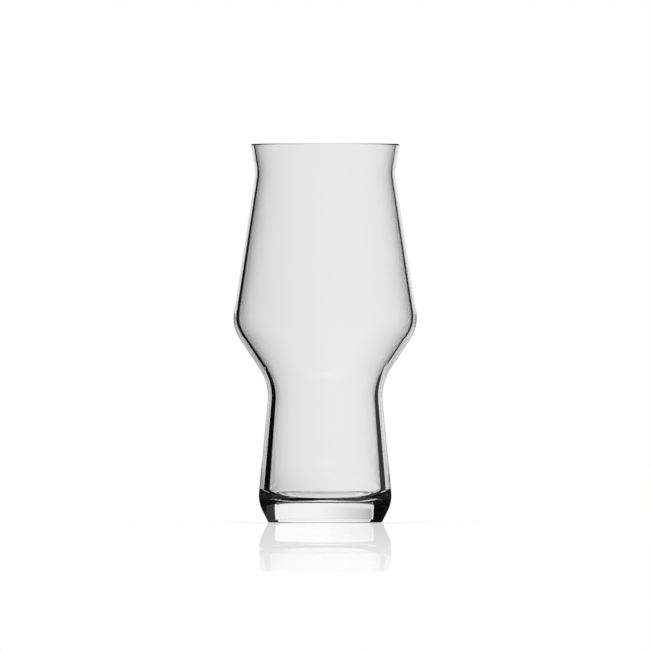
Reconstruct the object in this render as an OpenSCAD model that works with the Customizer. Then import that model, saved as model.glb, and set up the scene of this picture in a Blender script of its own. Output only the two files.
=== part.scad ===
// Stemless tulip beer glass: a thick base, a slim waisted grip, a wide shoulder,
// a bowl that tapers to the neck and a lip that turns out again.
// The glass is turned about Z and stands on z = 0. One closed wall section,
// drawn as straight lines with rounded corners, is cut into five bands.

/* [Heights] */
// Table to the line where the chamfer and the grip meet
base_height = 8.5; // [6:0.5:12]
// That line to the waist
grip_height = 49.3; // [36:0.1:64]
// Waist to the shoulder line
shoulder_height = 24; // [18:0.5:32]
// Shoulder line to the neck
bowl_height = 64; // [48:0.5:84]
// Neck to the rim
lip_height = 12.2; // [9:0.1:18]

/* [Outside diameters] */
// Foot, where the chamfer meets the table
foot_d = 47.4; // [40:0.2:52]
// Base line, before its corner is rounded
base_d = 56; // [53:0.2:64]
// Waist, before its corner is rounded
waist_d = 46.5; // [42:0.1:52]
// Shoulder, before its corner is rounded
shoulder_d = 78; // [70:0.2:92]
// Neck, before its corner is rounded
neck_d = 58.2; // [52:0.2:66]
// Rim
rim_d = 61.9; // [56:0.1:72]

/* [Walls] */
// Wall at the rim
lip_wall = 1.4; // [1:0.1:2.4]
// Wall at the neck
neck_wall = 1.7; // [1.1:0.1:2.6]
// Wall at the shoulder
shoulder_wall = 2.2; // [1.4:0.1:3]
// Wall at the waist
waist_wall = 3; // [2:0.1:4]
// Wall at the bottom of the well
well_wall = 4.4; // [3:0.1:6]
// Glass under the middle of the well
floor_thickness = 8.7; // [6:0.1:12]

/* [Rounding] */
// Heel, between the foot and the chamfer
heel_radius = 0.6; // [0.3:0.1:1.2]
// Base line
base_radius = 14; // [6:0.5:18]
// Waist
waist_radius = 21; // [12:0.5:28]
// Shoulder
shoulder_radius = 16.5; // [10:0.5:22]
// Neck
neck_radius = 15; // [8:0.5:22]
// Corner between the well's wall and its floor
well_radius = 4.8; // [3:0.1:8]

/* [Well and underside] */
// Fall of the well's floor from its edge to its middle
floor_dish = 0.15; // [0.1:0.05:1]
// Width of the ring that the glass stands on
ring_width = 3.2; // [2:0.1:5]
// Rise of the punt inside that ring
punt_depth = 0.7; // [0.3:0.1:1.2]
// Width of the slope from the ring to the punt
punt_slope_width = 4; // [2.5:0.1:6]
// Rounding of the punt's slope
punt_radius = 6; // [3:0.5:9]

/* [Hidden] */

// A corner's arc takes no more than this share of either line beside it
reach_share = 0.48;
// The fire-polished rim is round over this share of its wall
rim_round_share = 0.47;
// Turn of one step along an arc, in degrees
arc_step = 3;
turn_steps = 192;
// Overrun of the first and last bands past the glass
overrun = 1;
glass_colour = [0.88, 0.92, 0.92, 0.35];

waist_z = base_height + grip_height;
shoulder_z = waist_z + shoulder_height;
neck_z = shoulder_z + bowl_height;
rim_z = neck_z + lip_height;
well_edge_z = floor_thickness + floor_dish;
base_top_z = well_edge_z + well_radius;
widest_d = max(base_d, shoulder_d, rim_d);

foot = [foot_d / 2, 0];
base_line = [base_d / 2, base_height];
waist = [waist_d / 2, waist_z];
shoulder_line = [shoulder_d / 2, shoulder_z];
neck = [neck_d / 2, neck_z];
rim = [rim_d / 2, rim_z];

function unit(v) = v / norm(v);
function left_of(v) = [-v.y, v.x];

// The corner p of the outline a, p, b, moved squarely into the glass by a wall
function inset(a, p, b, wall) =
    let (n = left_of(unit(p - a)), m = left_of(unit(b - p)))
    p + wall * (n + m) / (1 + n * m);

// The corner p of the outline a, p, b as an arc of radius r, tangent to both lines
function rounded(a, p, b, r) =
    let (
        u = unit(a - p),
        v = unit(b - p),
        half = acos(max(-1, min(1, u * v))) / 2,
        reach = min(r / tan(half), reach_share * min(norm(a - p), norm(b - p))),
        fit = reach * tan(half),
        centre = p + unit(u + v) * fit / sin(half),
        out = p + u * reach - centre,
        start = atan2(out.y, out.x),
        turn = (180 - 2 * half) * sign(cross(p - a, b - p)),
        steps = ceil(abs(turn) / arc_step)
    )
    [for (i = [0 : steps]) let (t = start + turn * i / steps) centre + fit * [cos(t), sin(t)]];

// A line through corners [point, radius], with its two ends left sharp
function rounded_line(corners) =
    let (last = len(corners) - 1)
    [
        corners[0][0],
        for (i = [1 : last - 1])
            each rounded(corners[i - 1][0], corners[i][0], corners[i + 1][0], corners[i][1]),
        corners[last][0]
    ];

inner_waist = inset(base_line, waist, shoulder_line, waist_wall);
inner_shoulder = inset(waist, shoulder_line, neck, shoulder_wall);
inner_neck = inset(shoulder_line, neck, rim, neck_wall);
well_edge = [base_line.x - well_wall, well_edge_z];
ring_in = foot.x - ring_width;

// Wall section: up the outside, over the rim and down into the well
wall_section = rounded_line([
    [[0, punt_depth], 0],
    [[ring_in - punt_slope_width, punt_depth], punt_radius],
    [[ring_in, 0], punt_radius],
    [foot, heel_radius],
    [base_line, base_radius],
    [waist, waist_radius],
    [shoulder_line, shoulder_radius],
    [neck, neck_radius],
    [rim, lip_wall * rim_round_share],
    [rim - [lip_wall, 0], lip_wall * rim_round_share],
    [inner_neck, neck_radius + neck_wall],
    [inner_shoulder, shoulder_radius - shoulder_wall],
    [inner_waist, waist_radius + waist_wall],
    [well_edge, well_radius],
    [[0, floor_thickness], 0]
]);

// The glass between two heights
module glass_band(low, high) {
    color(glass_colour)
        rotate_extrude($fn = turn_steps)
            intersection() {
                polygon(wall_section);
                translate([0, low]) square([widest_d, high - low]);
            }
}

// Thick base with its chamfered foot, standing ring, punt and nearly flat well floor
module base() {
    glass_band(-overrun, base_top_z);
}

// Slim part that the hand holds, up to the waist
module grip() {
    glass_band(base_top_z, waist_z);
}

// Steep flare from the waist to the shoulder line
module shoulder() {
    glass_band(waist_z, shoulder_z);
}

// Tapering bowl over the shoulder
module bowl() {
    glass_band(shoulder_z, neck_z);
}

// Lip that turns out from the neck to the round rim
module lip() {
    glass_band(neck_z, rim_z + overrun);
}

base();
grip();
shoulder();
bowl();
lip();
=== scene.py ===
"""Stemless tulip beer glass on a pale floor: one seamless piece of clear glass, turned from its
wall section, among the lit and dark cards of a studio."""

from math import acos, ceil, pi, radians, sin, tan

import bpy
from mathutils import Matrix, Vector


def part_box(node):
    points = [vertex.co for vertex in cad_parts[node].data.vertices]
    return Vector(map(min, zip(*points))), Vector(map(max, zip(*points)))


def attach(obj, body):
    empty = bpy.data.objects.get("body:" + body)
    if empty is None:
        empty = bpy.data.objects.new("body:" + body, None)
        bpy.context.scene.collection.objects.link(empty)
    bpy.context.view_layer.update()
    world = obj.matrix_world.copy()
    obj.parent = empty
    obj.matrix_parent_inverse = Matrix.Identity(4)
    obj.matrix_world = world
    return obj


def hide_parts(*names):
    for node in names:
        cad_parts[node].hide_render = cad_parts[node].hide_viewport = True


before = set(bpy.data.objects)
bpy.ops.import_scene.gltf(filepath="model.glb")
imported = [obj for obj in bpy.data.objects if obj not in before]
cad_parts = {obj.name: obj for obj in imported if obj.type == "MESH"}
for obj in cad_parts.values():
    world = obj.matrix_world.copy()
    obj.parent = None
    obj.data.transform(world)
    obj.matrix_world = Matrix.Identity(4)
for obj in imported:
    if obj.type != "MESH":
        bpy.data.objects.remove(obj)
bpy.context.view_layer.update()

MM = 0.001

# Heights of the glass, from the bands that the frame holds
BASE_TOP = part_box("base")[1].z
WAIST_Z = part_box("grip")[1].z
SHOULDER_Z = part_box("shoulder")[1].z
NECK_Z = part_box("bowl")[1].z
RIM_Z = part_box("lip")[1].z

# Wall section: corners before rounding, walls and rounding
FOOT_R = 23.7 * MM
BASE_R, BASE_Z = 28.0 * MM, 8.5 * MM
WAIST_R = 23.25 * MM
SHOULDER_R = 39.0 * MM
NECK_R = 29.1 * MM
RIM_R = 30.95 * MM
LIP_WALL = 1.4 * MM
NECK_WALL = 1.7 * MM
SHOULDER_WALL = 2.2 * MM
WAIST_WALL = 3.0 * MM
WELL_WALL = 4.4 * MM
HEEL_ROUND = 0.6 * MM
BASE_ROUND = 14.0 * MM
WAIST_ROUND = 21.0 * MM
SHOULDER_ROUND = 16.5 * MM
NECK_ROUND = 15.0 * MM
RIM_ROUND_SHARE = 0.47
RIM_ROUND = RIM_ROUND_SHARE * LIP_WALL
WELL_ROUND = 4.8 * MM
FLOOR_DISH = 0.15 * MM
WELL_EDGE_Z = BASE_TOP - WELL_ROUND
FLOOR_Z = WELL_EDGE_Z - FLOOR_DISH
RING_WIDTH = 3.2 * MM
PUNT_DEPTH = 0.7 * MM
PUNT_SLOPE = 4.0 * MM
PUNT_ROUND = 6.0 * MM

# Steps of the mesh round the glass, along an arc and along a straight stretch
TURN_STEPS = 256
ARC_STEP = radians(2.5)
LINE_STEP = 3.0 * MM
# First and last step of a straight stretch, and the most of its length that each may take
HOLD_STEP, HOLD_SHARE = 0.15 * MM, 0.25
# A corner's arc takes no more than this share of either line beside it
REACH_SHARE = 0.48
MERGE_DISTANCE = 0.002 * MM
SECTION_AXIS, GLASS_AXIS = (0, 1, 0), (0, 0, 1)


def across(line):
    """A vector turned a quarter to the left."""
    return Vector((-line.y, line.x))


def inset(before, corner, after, wall):
    """The corner moved squarely into the glass by a wall."""
    inward = across((corner - before).normalized())
    next_inward = across((after - corner).normalized())
    return corner + wall * (inward + next_inward) / (1 + inward.dot(next_inward))


def section_corners():
    """The wall section as (corner, rounding): up the outside, over the rim and down into the well."""
    foot = Vector((FOOT_R, 0))
    base = Vector((BASE_R, BASE_Z))
    waist = Vector((WAIST_R, WAIST_Z))
    shoulder = Vector((SHOULDER_R, SHOULDER_Z))
    neck = Vector((NECK_R, NECK_Z))
    rim = Vector((RIM_R, RIM_Z))
    ring = FOOT_R - RING_WIDTH
    return [
        (Vector((0, PUNT_DEPTH)), 0),
        (Vector((ring - PUNT_SLOPE, PUNT_DEPTH)), PUNT_ROUND),
        (Vector((ring, 0)), PUNT_ROUND),
        (foot, HEEL_ROUND),
        (base, BASE_ROUND),
        (waist, WAIST_ROUND),
        (shoulder, SHOULDER_ROUND),
        (neck, NECK_ROUND),
        (rim, RIM_ROUND),
        (rim - Vector((LIP_WALL, 0)), RIM_ROUND),
        (inset(shoulder, neck, rim, NECK_WALL), NECK_ROUND + NECK_WALL),
        (inset(waist, shoulder, neck, SHOULDER_WALL), SHOULDER_ROUND - SHOULDER_WALL),
        (inset(base, waist, shoulder, WAIST_WALL), WAIST_ROUND + WAIST_WALL),
        (Vector((BASE_R - WELL_WALL, WELL_EDGE_Z)), WELL_ROUND),
        (Vector((0, FLOOR_Z)), 0),
    ]


def draw_line(start, end):
    """Extrudes the selected vertex along a straight stretch.
    The short steps at its ends keep the smooth shading of the arcs out of it."""
    length = (end - start).length
    direction = (end - start).normalized()
    hold = min(HOLD_STEP, HOLD_SHARE * length)
    count = max(1, ceil(length / LINE_STEP))
    between = (length - 2 * hold) / count
    for step in (hold, *count * [between], hold):
        move = step * direction
        bpy.ops.mesh.extrude_region_move(TRANSFORM_OT_translate={"value": (move.x, 0, move.y)})


def draw_arc(centre, turn):
    """Spins the selected vertex about an arc's centre by a signed turn, in the section's plane."""
    bpy.ops.mesh.spin(
        steps=max(1, ceil(abs(turn) / ARC_STEP)),
        angle=turn,
        center=(centre.x, 0, centre.y),
        axis=SECTION_AXIS,
        use_auto_merge=False,
    )


def draw_section(corners):
    """Draws the rounded section from its first corner to its last, as straight stretches and arcs."""
    at = corners[0][0]
    for (before, _), (corner, rounding), (after, _) in zip(corners, corners[1:], corners[2:]):
        back = (before - corner).normalized()
        ahead = (after - corner).normalized()
        half = acos(max(-1, min(1, back.dot(ahead)))) / 2
        room = REACH_SHARE * min((before - corner).length, (after - corner).length)
        reach = min(rounding / tan(half), room)
        centre = corner + (back + ahead).normalized() * reach * tan(half) / sin(half)
        side = 1 if (corner - before).cross(after - corner) > 0 else -1
        draw_line(at, corner + back * reach)
        draw_arc(centre, side * (pi - 2 * half))
        at = corner + ahead * reach
    draw_line(at, corners[-1][0])


def turn_glass():
    """The whole glass: the section drawn at the side and spun once round the axis."""
    corners = section_corners()
    start = corners[0][0]
    bpy.ops.object.select_all(action="DESELECT")
    bpy.ops.mesh.primitive_plane_add(size=MM)
    glass = bpy.context.object
    glass.name = glass.data.name = "tulip_glass"
    bpy.ops.object.mode_set(mode="EDIT")
    bpy.ops.mesh.merge(type="CENTER")
    bpy.ops.transform.translate(value=(start.x, 0, start.y))
    draw_section(corners)
    bpy.ops.mesh.select_all(action="SELECT")
    bpy.ops.mesh.spin(steps=TURN_STEPS, angle=2 * pi, center=(0, 0, 0), axis=GLASS_AXIS)
    bpy.ops.mesh.select_all(action="SELECT")
    bpy.ops.mesh.remove_doubles(threshold=MERGE_DISTANCE)
    bpy.ops.mesh.normals_make_consistent(inside=False)
    bpy.ops.object.mode_set(mode="OBJECT")
    bpy.ops.object.shade_smooth()
    return glass


def new_node(tree, kind, **values):
    """Adds a node and sets its plain properties."""
    node = tree.nodes.new(kind)
    for name, value in values.items():
        setattr(node, name, value)
    return node


def feed(tree, socket, value):
    """Links an output to a socket, or sets the socket to a number or a colour."""
    if isinstance(value, bpy.types.NodeSocket):
        tree.links.new(value, socket)
    else:
        socket.default_value = value


def typed(sockets, kind):
    """The sockets of one type."""
    return [socket for socket in sockets if socket.type == kind]


def calc(tree, operation, *values):
    """A Math node's result."""
    node = new_node(tree, "ShaderNodeMath", operation=operation)
    for socket, value in zip(node.inputs, values):
        feed(tree, socket, value)
    return node.outputs[0]


def ramp(tree, value, start, end, low=0.0, high=1.0, kind="SMOOTHSTEP"):
    """A step from low to high as value goes from start to end, smooth or straight."""
    node = new_node(tree, "ShaderNodeMapRange", interpolation_type=kind, clamp=True)
    names = ("Value", "From Min", "From Max", "To Min", "To Max")
    for name, number in zip(names, (value, start, end, low, high)):
        feed(tree, node.inputs[name], number)
    return node.outputs["Result"]


def mix(tree, share, low, high):
    """A number between low and high."""
    node = new_node(tree, "ShaderNodeMix", data_type="FLOAT")
    for socket, value in zip(typed(node.inputs, "VALUE"), (share, low, high)):
        feed(tree, socket, value)
    return node.outputs[0]


def mix_colour(tree, share, first, second):
    """A colour between two others."""
    node = new_node(tree, "ShaderNodeMix", data_type="RGBA")
    feed(tree, node.inputs["Factor"], share)
    for socket, value in zip(typed(node.inputs, "RGBA"), (first, second)):
        feed(tree, socket, value)
    return typed(node.outputs, "RGBA")[0]


def largest(tree, *values):
    """The largest of some numbers."""
    top = values[0]
    for value in values[1:]:
        top = calc(tree, "MAXIMUM", top, value)
    return top


def split(tree, kind):
    """The outputs X, Y and Z of one kind of texture coordinate."""
    apart = new_node(tree, "ShaderNodeSeparateXYZ")
    feed(tree, apart.inputs[0], new_node(tree, "ShaderNodeTexCoord").outputs[kind])
    return apart.outputs


def cloud(tree, scale, detail):
    """Soft noise through the glass, in spots of one scale."""
    node = new_node(tree, "ShaderNodeTexNoise")
    feed(tree, node.inputs["Vector"], new_node(tree, "ShaderNodeTexCoord").outputs["Object"])
    feed(tree, node.inputs["Scale"], scale)
    feed(tree, node.inputs["Detail"], detail)
    return node.outputs["Fac"]


WHITE = (1.0, 1.0, 1.0, 1.0)
# Noise scales in spots per metre
TINT_SCALE, HAZE_SCALE, WAVE_SCALE = 22.0, 260.0, 30.0
TINT_DETAIL, HAZE_DETAIL, WAVE_DETAIL = 2.0, 6.0, 1.0
FAINTEST = (0.985, 0.987, 0.987, 1.0)
HAZE_START, HAZE_FULL = 0.52, 0.8
POLISHED, HAZE_ROUGHNESS = 0.0, 0.004
WAVE_STRENGTH, WAVE_HEIGHT = 0.05, 0.1 * MM
ALL_TRANSMITTED = 1.0
GLASS_INDEX = 1.52


def clear_glass():
    """Colourless polished glass: faint waves from the mould, a trace of tint and a few hazy spots."""
    material = bpy.data.materials.new("clear_glass")
    material.use_nodes = True
    tree = material.node_tree
    sockets = tree.nodes["Principled BSDF"].inputs
    tint = mix_colour(tree, cloud(tree, TINT_SCALE, TINT_DETAIL), WHITE, FAINTEST)
    feed(tree, sockets["Base Color"], tint)
    spots = cloud(tree, HAZE_SCALE, HAZE_DETAIL)
    haze = ramp(tree, spots, HAZE_START, HAZE_FULL, POLISHED, HAZE_ROUGHNESS)
    feed(tree, sockets["Roughness"], haze)
    wave = new_node(tree, "ShaderNodeBump")
    feed(tree, wave.inputs["Strength"], WAVE_STRENGTH)
    feed(tree, wave.inputs["Distance"], WAVE_HEIGHT)
    feed(tree, wave.inputs["Height"], cloud(tree, WAVE_SCALE, WAVE_DETAIL))
    feed(tree, sockets["Normal"], wave.outputs["Normal"])
    feed(tree, sockets["Transmission Weight"], ALL_TRANSMITTED)
    feed(tree, sockets["IOR"], GLASS_INDEX)
    return material


RAY_KINDS = ("camera", "diffuse", "glossy", "transmission", "volume_scatter", "shadow")


def show_only_to(thing, kind):
    """Leaves a stage piece visible to one kind of ray."""
    for other in RAY_KINDS:
        setattr(thing, "visible_" + other, other == kind)


def upright_sheet(name, left, right, low, high, depth, lean=0.0):
    """An upright sheet that faces the camera, at a depth behind the middle of the glass.
    Its second edge can lean aside towards the top."""
    bpy.ops.object.select_all(action="DESELECT")
    bpy.ops.mesh.primitive_plane_add(size=1)
    sheet = bpy.context.object
    sheet.name = name
    for vertex in sheet.data.vertices:
        top = vertex.co.y > 0
        edge = right + lean if top else right
        vertex.co = (edge if vertex.co.x > 0 else left, depth, high if top else low)
    return sheet


RING_SIDES = 96


def ring_sheet(name, radius, low, high):
    """An upright sheet bent to a ring round the glass."""
    bpy.ops.object.select_all(action="DESELECT")
    bpy.ops.mesh.primitive_cylinder_add(
        vertices=RING_SIDES,
        radius=radius,
        depth=high - low,
        end_fill_type="NOTHING",
        location=(0, 0, (low + high) / 2),
    )
    ring = bpy.context.object
    ring.name = name
    return ring


def stage_material(thing):
    """Gives a stage piece an empty material; its node tree and the socket of its surface."""
    material = bpy.data.materials.new(thing.name)
    material.use_nodes = True
    tree = material.node_tree
    tree.nodes.remove(tree.nodes["Principled BSDF"])
    thing.data.materials.append(material)
    return tree, tree.nodes["Material Output"].inputs["Surface"]


# Halfway between no bounce and one
ONCE = 0.5
# Light through both sides of the glass has passed more surfaces than this
BOTH_SIDES = 3.5
# Light that has been mirrored more often than this inside the glass adds almost nothing
STRAY_DEPTH = 2.5
STRAY_LIGHT = 0.01
# The floor mirrors light no more than once
FLOOR_BOUNCES = 1.0
FULL_LIGHT = 1.0
SHADOW_LIGHT = 0.95


def ray(tree, fact):
    """One of the things that Blender knows about a ray of light."""
    return new_node(tree, "ShaderNodeLightPath").outputs[fact]


def bounces(tree):
    """How often light was mirrored inside the glass. Light that the floor has mirrored first has
    crossed a clear film, and that mirroring is taken off again."""
    by_floor = calc(tree, "MINIMUM", ray(tree, "Transparent Depth"), FLOOR_BOUNCES)
    return calc(tree, "SUBTRACT", ray(tree, "Glossy Depth"), by_floor)


def mirrored(tree):
    """Whether the glass has mirrored the light."""
    return calc(tree, "GREATER_THAN", bounces(tree), ONCE)


def strayed(tree):
    """Whether the glass has mirrored the light too often to matter."""
    return calc(tree, "GREATER_THAN", bounces(tree), STRAY_DEPTH)


def crossed(tree):
    """Whether light has come through both sides of the glass."""
    return calc(tree, "GREATER_THAN", ray(tree, "Transmission Depth"), BOTH_SIDES)


def shadow_lit(tree, strength):
    """The strength that light has for the eye, but nearly white for light that the floor scatters."""
    scattered = calc(tree, "GREATER_THAN", ray(tree, "Diffuse Depth"), ONCE)
    return mix(tree, calc(tree, "MULTIPLY", scattered, SHADOW_LIGHT), strength, FULL_LIGHT)


def glow(tree, strength):
    """White light of a strength."""
    node = new_node(tree, "ShaderNodeEmission")
    feed(tree, node.inputs["Strength"], shadow_lit(tree, strength))
    return node.outputs[0]


def open_air(tree):
    """A surface that lets light pass as if it were not there."""
    return new_node(tree, "ShaderNodeBsdfTransparent").outputs[0]


def blend(tree, share, first, second):
    """Two shaders mixed, with a share of the second."""
    node = new_node(tree, "ShaderNodeMixShader")
    for socket, value in zip(node.inputs, (share, first, second)):
        feed(tree, socket, value)
    return node.outputs[0]


PANEL_Y = 160 * MM
PANEL_LEFT, PANEL_RIGHT = -104 * MM, 116 * MM
PANEL_LOW, PANEL_HIGH = -100 * MM, 320 * MM
PANEL_LIGHT = 0.98
FADE_START, FADE_BACK = 5 * MM, -92 * MM
LOW_FADE, HIGH_FADE = 0.55, 0.24
LOW_FADE_Z, HIGH_FADE_Z = 8 * MM, 20 * MM


def light_panel():
    """Lit panel close behind the glass, seen only through it. Its left side is dimmer, most of all
    low down, and bright again along its very edge."""
    panel = upright_sheet("light_panel", PANEL_LEFT, PANEL_RIGHT, PANEL_LOW, PANEL_HIGH, PANEL_Y)
    tree, surface = stage_material(panel)
    place = split(tree, "Object")
    fade = ramp(tree, place["X"], FADE_START, PANEL_LEFT, kind="LINEAR")
    fade = calc(tree, "MULTIPLY", fade, ramp(tree, place["X"], PANEL_LEFT, FADE_BACK))
    depth = ramp(tree, place["Z"], LOW_FADE_Z, HIGH_FADE_Z, LOW_FADE, HIGH_FADE)
    light = calc(tree, "SUBTRACT", PANEL_LIGHT, calc(tree, "MULTIPLY", fade, depth))
    feed(tree, surface, glow(tree, mix(tree, strayed(tree), light, STRAY_LIGHT)))
    show_only_to(panel, "transmission")


CARD_HALF = 118 * MM
CARD_LOW, CARD_HIGH = 26 * MM, 156 * MM
CARD_DIM_LEFT, CARD_DIM_RIGHT = 0.45, 0.75
GAP_START, GAP_FULL = 66 * MM, 74 * MM
GAP_FADE, GAP_END = 88 * MM, 96 * MM
GAP_LIGHT = 0.1


def reflection_card():
    """White card at the panel's place, seen only in mirror images. It lights the outermost edge of the
    bowl, and of the grip more weakly. Between the two it is dark, as the edge of the shoulder is."""
    card = upright_sheet("reflection_card", -CARD_HALF, CARD_HALF, CARD_LOW, CARD_HIGH, PANEL_Y)
    tree, surface = stage_material(card)
    place = split(tree, "Object")
    dim = ramp(tree, place["X"], -CARD_HALF, CARD_HALF, CARD_DIM_LEFT, CARD_DIM_RIGHT, kind="LINEAR")
    light = mix(tree, ramp(tree, place["Z"], GAP_START, GAP_FULL), dim, GAP_LIGHT)
    light = mix(tree, ramp(tree, place["Z"], GAP_FADE, GAP_END), light, FULL_LIGHT)
    feed(tree, surface, glow(tree, light))
    show_only_to(card, "glossy")


BOUNCE_Y = 60 * MM
BOUNCE_HALF = 23 * MM
BOUNCE_LOW, BOUNCE_HIGH = 11.5 * MM, 170 * MM
BOUNCE_DARK, BOUNCE_GREY = 0.04, 0.45
GREY_START, GREY_FULL = 21 * MM, 26 * MM
GREY_FADE, GREY_END = 40 * MM, 50 * MM


def bounce_card():
    """Dark card close behind the glass, only for light that the glass has mirrored on its way.
    It keeps the sides of the bowl clean, and the far edge of the well's floor shows against it
    as a thin line."""
    card = upright_sheet("bounce_card", -BOUNCE_HALF, BOUNCE_HALF, BOUNCE_LOW, BOUNCE_HIGH, BOUNCE_Y)
    tree, surface = stage_material(card)
    height = split(tree, "Object")["Z"]
    rise = ramp(tree, height, GREY_START, GREY_FULL)
    grey = calc(tree, "MULTIPLY", rise, ramp(tree, height, GREY_END, GREY_FADE))
    light = mix(tree, grey, BOUNCE_DARK, BOUNCE_GREY)
    feed(tree, surface, blend(tree, mirrored(tree), open_air(tree), glow(tree, light)))
    show_only_to(card, "transmission")


CONE_Y = 30 * MM
CONE_LOW, CONE_HIGH = 49 * MM, 77 * MM
CONE_LEAN = 15 * MM
CONE_LEFT, CONE_RIGHT = -39.5 * MM, 43 * MM
CONE_OUTER = 110 * MM
LEFT_DARK, RIGHT_DARK = 0.002, 0.045


def cone_card(name, inner, outer, lean, light):
    """Dark card beside the flare of the glass, only for light that the glass has mirrored on its way.
    Its inner edge leans out as the flare does."""
    card = upright_sheet(name, outer, inner, CONE_LOW, CONE_HIGH, CONE_Y, lean)
    tree, surface = stage_material(card)
    feed(tree, surface, blend(tree, mirrored(tree), open_air(tree), glow(tree, light)))
    show_only_to(card, "transmission")


FILM_R, FILM_HEIGHT = 45 * MM, 165 * MM


def mirror_film():
    """Clear film round the glass that only mirrored light meets. Light that the floor has mirrored
    crosses it on the way in, and light that the glass has mirrored crosses it once, on the way out."""
    film = ring_sheet("mirror_film", FILM_R, 0, FILM_HEIGHT)
    tree, surface = stage_material(film)
    feed(tree, surface, open_air(tree))
    show_only_to(film, "glossy")


HEEL_RING_R = 70 * MM
HEEL_RING_LOW, HEEL_RING_HIGH = -9 * MM, -0.5 * MM
HEEL_RING_GAP = 15 * MM
HEEL_DARK = 0.02


def heel_ring():
    """Dark ring just below the floor's level, for light that the rounded heel has bent down. It is
    open before and behind, and clear for light that comes straight through both sides of the glass."""
    ring = ring_sheet("heel_ring", HEEL_RING_R, HEEL_RING_LOW, HEEL_RING_HIGH)
    tree, surface = stage_material(ring)
    aside = calc(tree, "ABSOLUTE", split(tree, "Object")["X"])
    gap = calc(tree, "LESS_THAN", aside, HEEL_RING_GAP)
    unmirrored = calc(tree, "LESS_THAN", bounces(tree), ONCE)
    straight = calc(tree, "MULTIPLY", crossed(tree), unmirrored)
    clear = largest(tree, gap, straight)
    feed(tree, surface, blend(tree, clear, glow(tree, HEEL_DARK), open_air(tree)))
    show_only_to(ring, "transmission")


BACK_EDGE, BACK_SOFT = radians(12), radians(3)
SIDE_START, SIDE_FULL = radians(66), radians(84)
REAR_START, REAR_FULL = radians(112), radians(104)
FRONT_START, FRONT_FULL = radians(150), radians(156)
LOW_START, LOW_FULL = radians(-1.5), radians(-3.5)
STEEP_START, STEEP_FULL = radians(-58), radians(-70)
OVERHEAD_START, OVERHEAD_FULL = radians(36), radians(50)
OVERHEAD_SHARE = 0.35


def light_through_glass(tree, side, lift):
    """What light that leaves the glass meets: white behind, beside, in front, below and overhead, and
    dark between. Light that the glass has mirrored meets white only behind and, dimmer, overhead."""
    turn = calc(tree, "ABSOLUTE", side)
    dark = ramp(tree, side, -BACK_EDGE, BACK_EDGE, LEFT_DARK, RIGHT_DARK)
    overhead = ramp(tree, lift, OVERHEAD_START, OVERHEAD_FULL)
    underfoot = ramp(tree, lift, LOW_START, LOW_FULL)
    not_steep = ramp(tree, lift, STEEP_FULL, STEEP_START)
    behind = ramp(tree, turn, BACK_EDGE + BACK_SOFT, BACK_EDGE - BACK_SOFT)
    past_side = ramp(tree, turn, SIDE_START, SIDE_FULL)
    beside = calc(tree, "MULTIPLY", past_side, ramp(tree, turn, REAR_START, REAR_FULL))
    facing = ramp(tree, turn, FRONT_START, FRONT_FULL)
    clean = largest(tree, behind, beside, facing, underfoot, overhead, crossed(tree))
    level_behind = calc(tree, "MULTIPLY", behind, not_steep)
    bounced = largest(tree, level_behind, calc(tree, "MULTIPLY", overhead, OVERHEAD_SHARE))
    light = mix(tree, mix(tree, mirrored(tree), clean, bounced), dark, PANEL_LIGHT)
    not_overhead = ramp(tree, lift, OVERHEAD_FULL, OVERHEAD_START)
    return mix(tree, calc(tree, "MULTIPLY", strayed(tree), not_overhead), light, STRAY_LIGHT)


MIRROR_DARK = 0.01
HORIZON_START, HORIZON_END = radians(0.9), radians(1.2)
# Crossings of the clear film by light that passes the glass by
IN_AND_OUT = 2


def light_in_mirrors(tree, lift):
    """What mirrored light meets: the dark, and a white horizon for light that the floor mirrors."""
    level = calc(tree, "ABSOLUTE", lift)
    horizon = ramp(tree, level, HORIZON_START, HORIZON_END, FULL_LIGHT, MIRROR_DARK)
    from_glass = calc(tree, "MODULO", ray(tree, "Transparent Depth"), IN_AND_OUT)
    return mix(tree, from_glass, horizon, MIRROR_DARK)


def studio_world():
    """White for the camera and for the floor, with lights of its own for the glass and for mirrors."""
    world = bpy.data.worlds.new("studio")
    bpy.context.scene.world = world
    world.use_nodes = True
    tree = world.node_tree
    x, y, z = split(tree, "Generated")
    side = calc(tree, "ARCTAN2", x, y)
    lift = calc(tree, "ARCSINE", z)
    light = mix(tree, ray(tree, "Is Glossy Ray"), FULL_LIGHT, light_in_mirrors(tree, lift))
    through = light_through_glass(tree, side, lift)
    light = mix(tree, ray(tree, "Is Transmission Ray"), light, through)
    light = mix(tree, ray(tree, "Is Camera Ray"), shadow_lit(tree, light), FULL_LIGHT)
    background = tree.nodes["Background"].inputs
    feed(tree, background["Strength"], light)
    feed(tree, background["Color"], WHITE)


# Sizes and places on the floor, in metres
FLOOR_HALF = 0.45
FLOOR_FRONT = 3.3
MIRROR_START, MIRROR_FULL = -0.011, -0.023
MIRROR_FADE, MIRROR_END = -2.34, -2.445
# How much the floor mirrors, near the glass and far in front of it
MIRROR_NEAR_SHARE, MIRROR_FAR_SHARE = 0.36, 0.13
GLANCE_START, GLANCE_FULL = radians(1.3), radians(1.05)
FLOOR_LIGHT = 0.9


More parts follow.
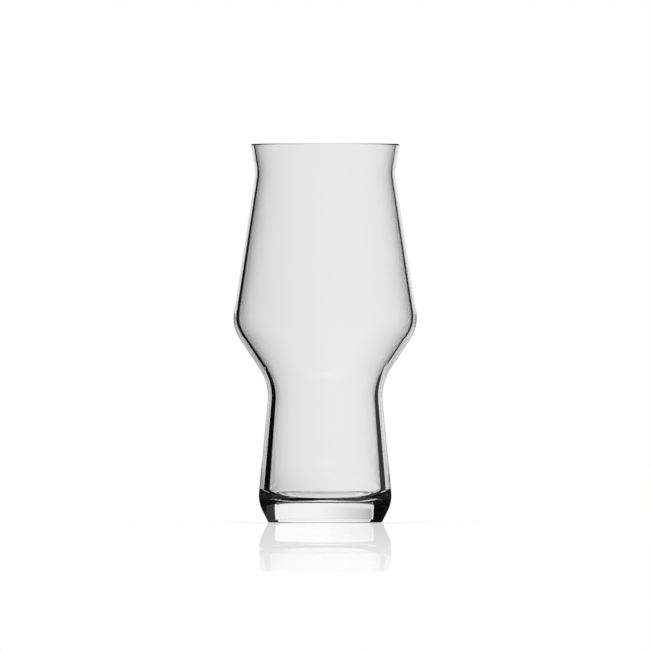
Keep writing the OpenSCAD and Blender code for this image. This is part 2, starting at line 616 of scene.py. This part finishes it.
def pale_floor():
    """White floor, polished just enough that the foot is mirrored at a glancing view.
    Most of its white is its own light, so the shadow on it stays faint."""
    bpy.ops.object.select_all(action="DESELECT")
    bpy.ops.mesh.primitive_plane_add(size=2 * FLOOR_HALF)
    floor = bpy.context.object
    floor.name = "floor"
    for vertex in floor.data.vertices:
        if vertex.co.y < 0:
            vertex.co.y = -FLOOR_FRONT
    tree, surface = stage_material(floor)
    matt = new_node(tree, "ShaderNodeBsdfDiffuse")
    feed(tree, matt.inputs["Color"], WHITE)
    gloss = new_node(tree, "ShaderNodeBsdfGlossy")
    feed(tree, gloss.inputs["Roughness"], POLISHED)
    feed(tree, gloss.inputs["Color"], WHITE)
    facing = new_node(tree, "ShaderNodeLayerWeight").outputs["Facing"]
    glancing = ramp(tree, facing, 1 - sin(GLANCE_START), 1 - sin(GLANCE_FULL))
    y = split(tree, "Object")["Y"]
    polish = ramp(tree, y, MIRROR_END, 0.0, MIRROR_FAR_SHARE, MIRROR_NEAR_SHARE, kind="LINEAR")
    for start, end in ((MIRROR_START, MIRROR_FULL), (MIRROR_END, MIRROR_FADE)):
        polish = calc(tree, "MULTIPLY", polish, ramp(tree, y, start, end))
    white = blend(tree, FLOOR_LIGHT, matt.outputs[0], glow(tree, FULL_LIGHT))
    share = calc(tree, "MULTIPLY", glancing, polish)
    feed(tree, surface, blend(tree, share, white, gloss.outputs[0]))
    floor.visible_transmission = False
    floor.visible_glossy = False


FRAME_HEIGHT = 271.7 * MM
CAMERA_X, CAMERA_Z = -0.06 * MM, 82.2 * MM
# In metres
CAMERA_DISTANCE, CLIP_END = 12.0, 100.0
# In millimetres, as Blender measures a sensor
SENSOR = 36.0


def level_camera():
    """A long lens, level with the middle of the picture."""
    data = bpy.data.cameras.new("camera")
    data.sensor_width = SENSOR
    data.lens = SENSOR * CAMERA_DISTANCE / FRAME_HEIGHT
    data.clip_end = CLIP_END
    camera = bpy.data.objects.new("camera", data)
    bpy.context.scene.collection.objects.link(camera)
    camera.location = (CAMERA_X, -CAMERA_DISTANCE, CAMERA_Z)
    camera.rotation_euler = (pi / 2, 0, 0)
    bpy.context.scene.camera = camera


MAX_BOUNCES = 24


def render_settings():
    """Plain view of the light, and enough bounces for light that the thick base mirrors often."""
    scene = bpy.context.scene
    scene.view_settings.view_transform = "Standard"
    scene.cycles.max_bounces = MAX_BOUNCES
    scene.cycles.transmission_bounces = MAX_BOUNCES
    scene.cycles.glossy_bounces = MAX_BOUNCES
    scene.cycles.use_denoising = True


glass = turn_glass()
glass.data.materials.append(clear_glass())
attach(glass, "root")
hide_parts("base", "grip", "shoulder", "bowl", "lip")
studio_world()
light_panel()
reflection_card()
bounce_card()
cone_card("left_card", CONE_LEFT, -CONE_OUTER, -CONE_LEAN, LEFT_DARK)
cone_card("right_card", CONE_RIGHT, CONE_OUTER, CONE_LEAN, RIGHT_DARK)
mirror_film()
heel_ring()
pale_floor()
level_camera()
render_settings()
